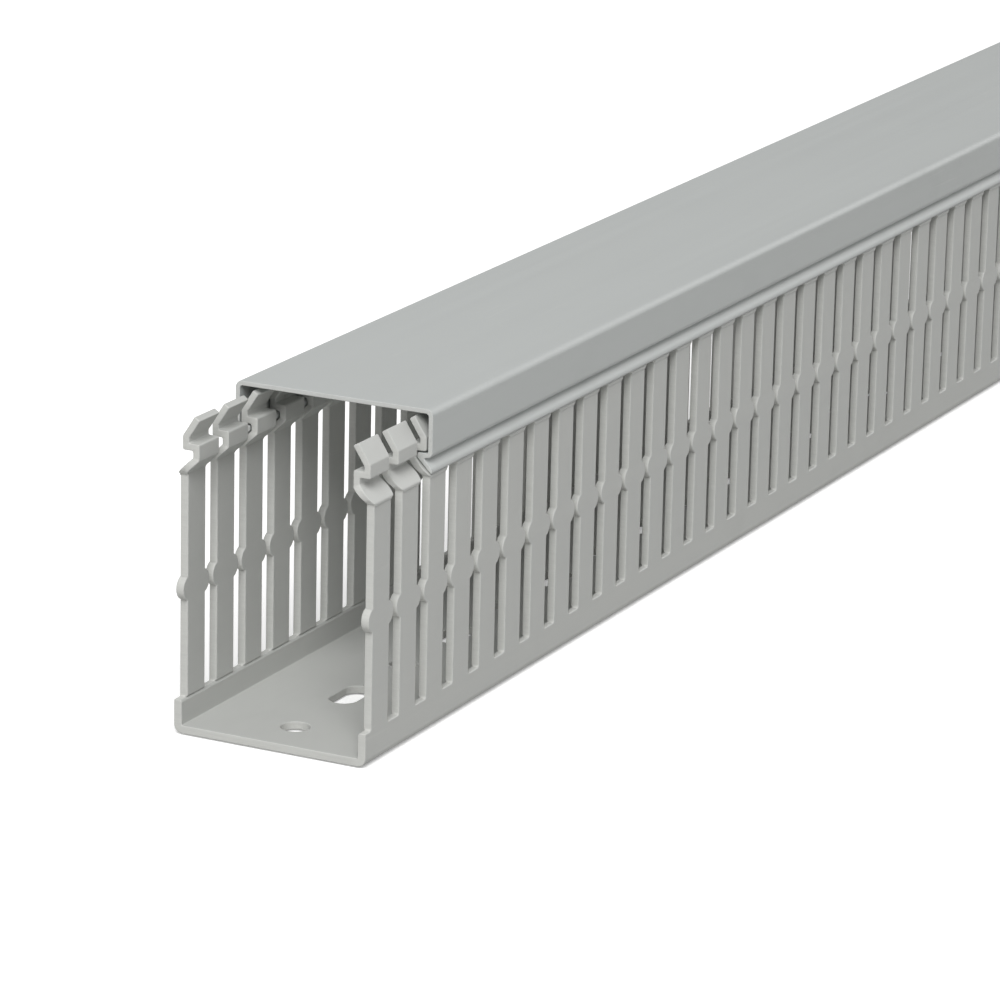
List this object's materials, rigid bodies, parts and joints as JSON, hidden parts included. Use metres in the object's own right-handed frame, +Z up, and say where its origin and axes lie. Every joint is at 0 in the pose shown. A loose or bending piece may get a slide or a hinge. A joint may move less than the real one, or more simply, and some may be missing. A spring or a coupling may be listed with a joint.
{
  "type": "slotted wire duct",
  "caption": "Open-slot U-shaped wire duct with clip-topped fingers, a punched base and a clip-on cover that slides lengthwise, for routing wires in cabinets.",
  "frame": {"origin": "middle of the trough's underside, where it lies on the mounting plate", "axes": "+Y along the duct towards its rear end, where the cover overhangs; +Z up, out of the trough; +X to the right, across the duct"},
  "size_m": [0.04, 0.5217, 0.06],
  "materials": {
    "trough_pvc": "satin light stone grey rigid PVC",
    "cover_pvc": "satin light stone grey rigid PVC"
  },
  "bodies": {
    "trough": {"trough": "trough_pvc"},
    "cover": {"cover": "cover_pvc"}
  },
  "joints": [
    {"name": "cover_slide", "type": "slide", "parent": "trough", "child": "cover", "axis": [0, 1, 0], "range_m": [-0.0225, 0.4767]}
  ]
}
